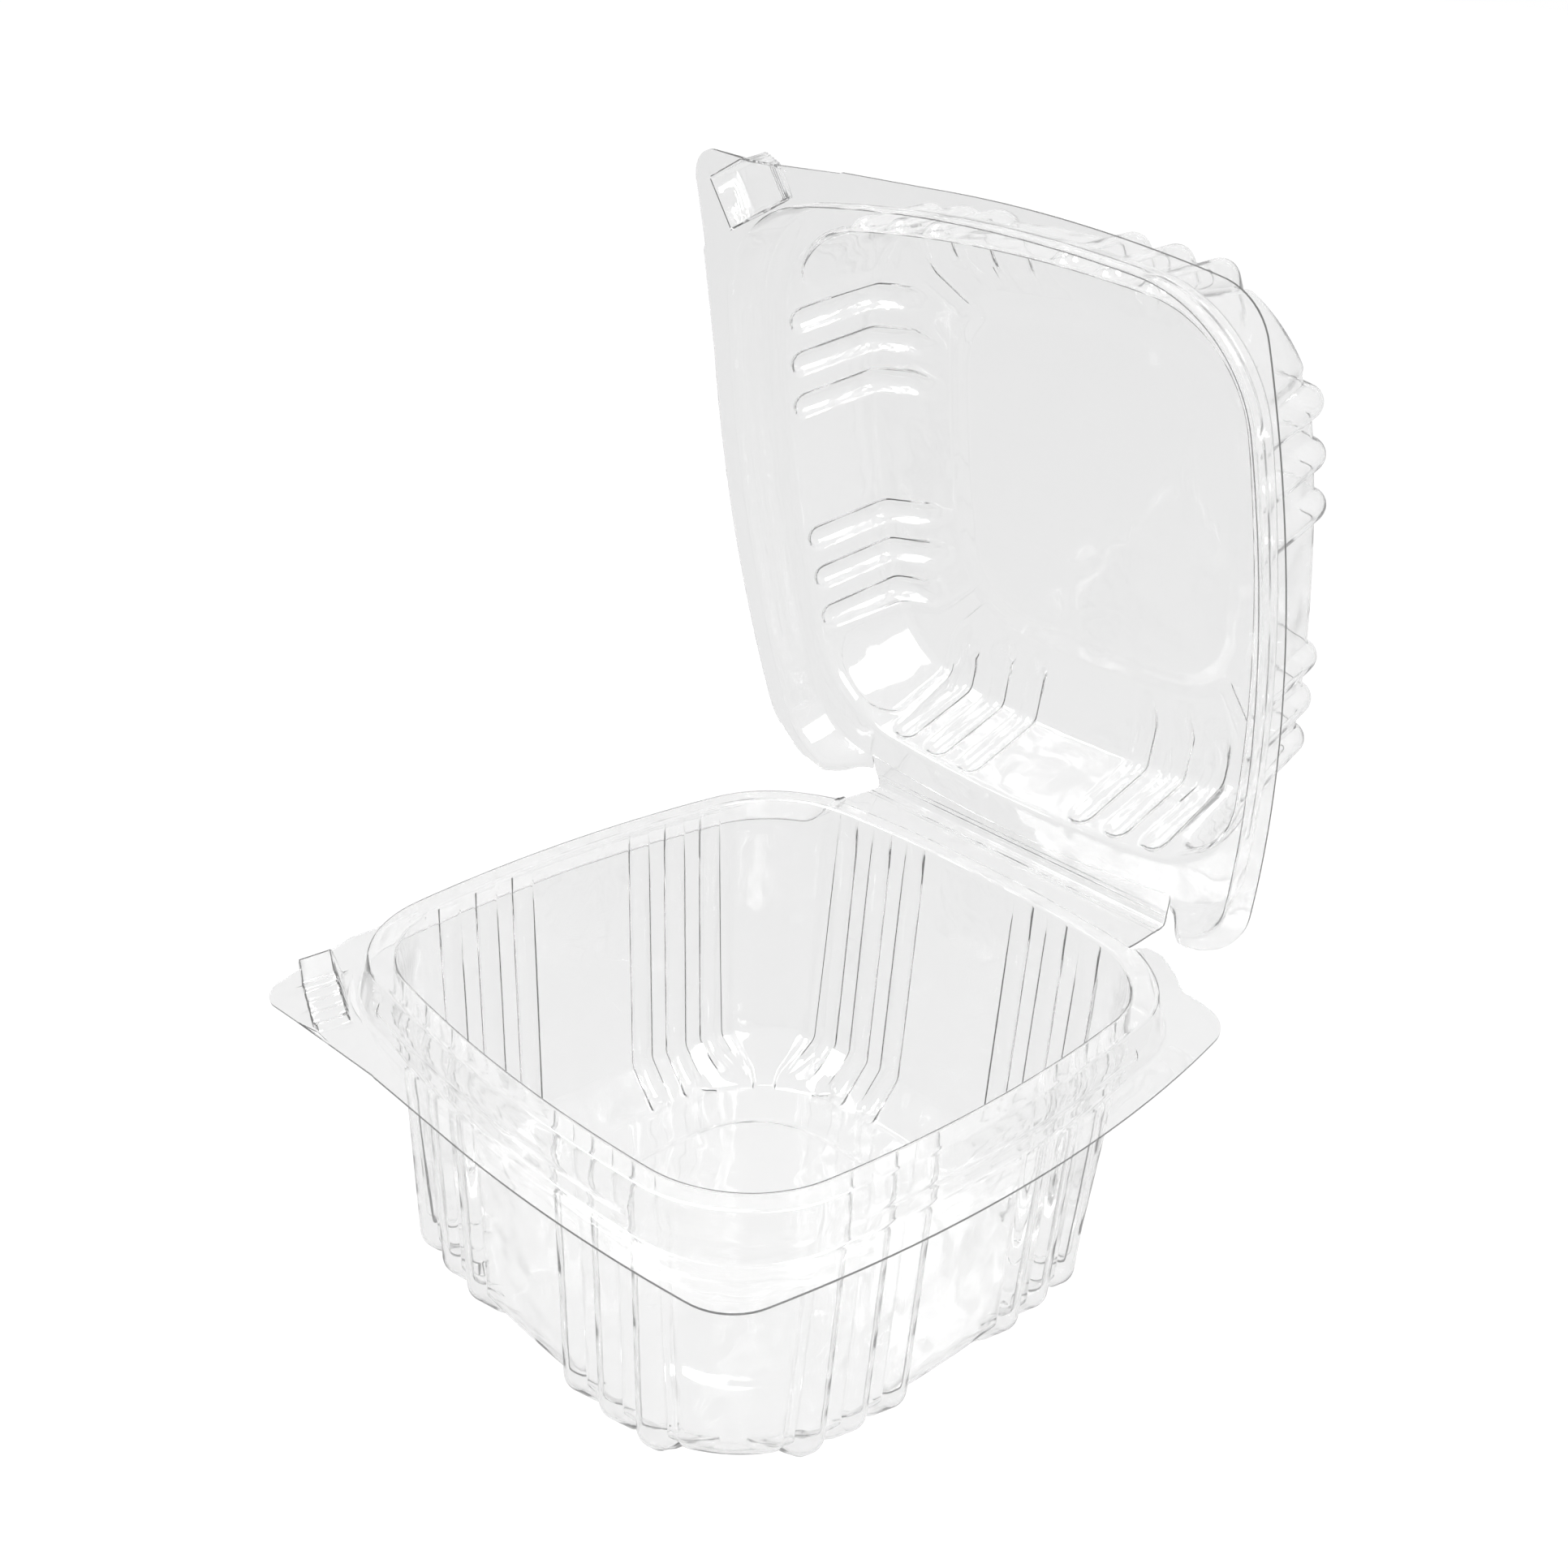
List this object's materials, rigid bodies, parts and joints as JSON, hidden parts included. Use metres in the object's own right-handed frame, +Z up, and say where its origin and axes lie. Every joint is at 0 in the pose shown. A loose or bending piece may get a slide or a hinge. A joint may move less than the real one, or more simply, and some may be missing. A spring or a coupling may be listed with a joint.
{
  "type": "hinged clamshell food container",
  "caption": "Clear deep-base clamshell food container with fluted tub, shallow fluted lid on a living hinge, snap rim and corner thumb tab, shown open.",
  "frame": {"origin": "middle of the underside of the tub floor", "axes": "+Z up through the mouth of the tub, +Y towards the living hinge, +X along the hinge line"},
  "size_m": [0.142, 0.1686, 0.2118],
  "materials": {
    "clear_sheet": "gloss, clear thermoformed PET sheet",
    "clear_hinge": "gloss, creased and slightly hazed clear PET"
  },
  "bodies": {
    "base": {"base_tub": "clear_sheet", "base_rim": "clear_sheet", "base_thumb_tab": "clear_sheet", "base_hinge_leaf": "clear_hinge", "hinge_bead": "clear_hinge"},
    "lid": {"lid_dome": "clear_sheet", "lid_rim": "clear_sheet", "lid_thumb_tab": "clear_sheet", "lid_hinge_leaf": "clear_hinge"}
  },
  "joints": [
    {"name": "lid_hinge", "type": "hinge", "parent": "base", "child": "lid", "pos_m": [0, 0.0728, 0.06867], "axis": [-1, 0, 0], "range_deg": [-78, 102]}
  ]
}
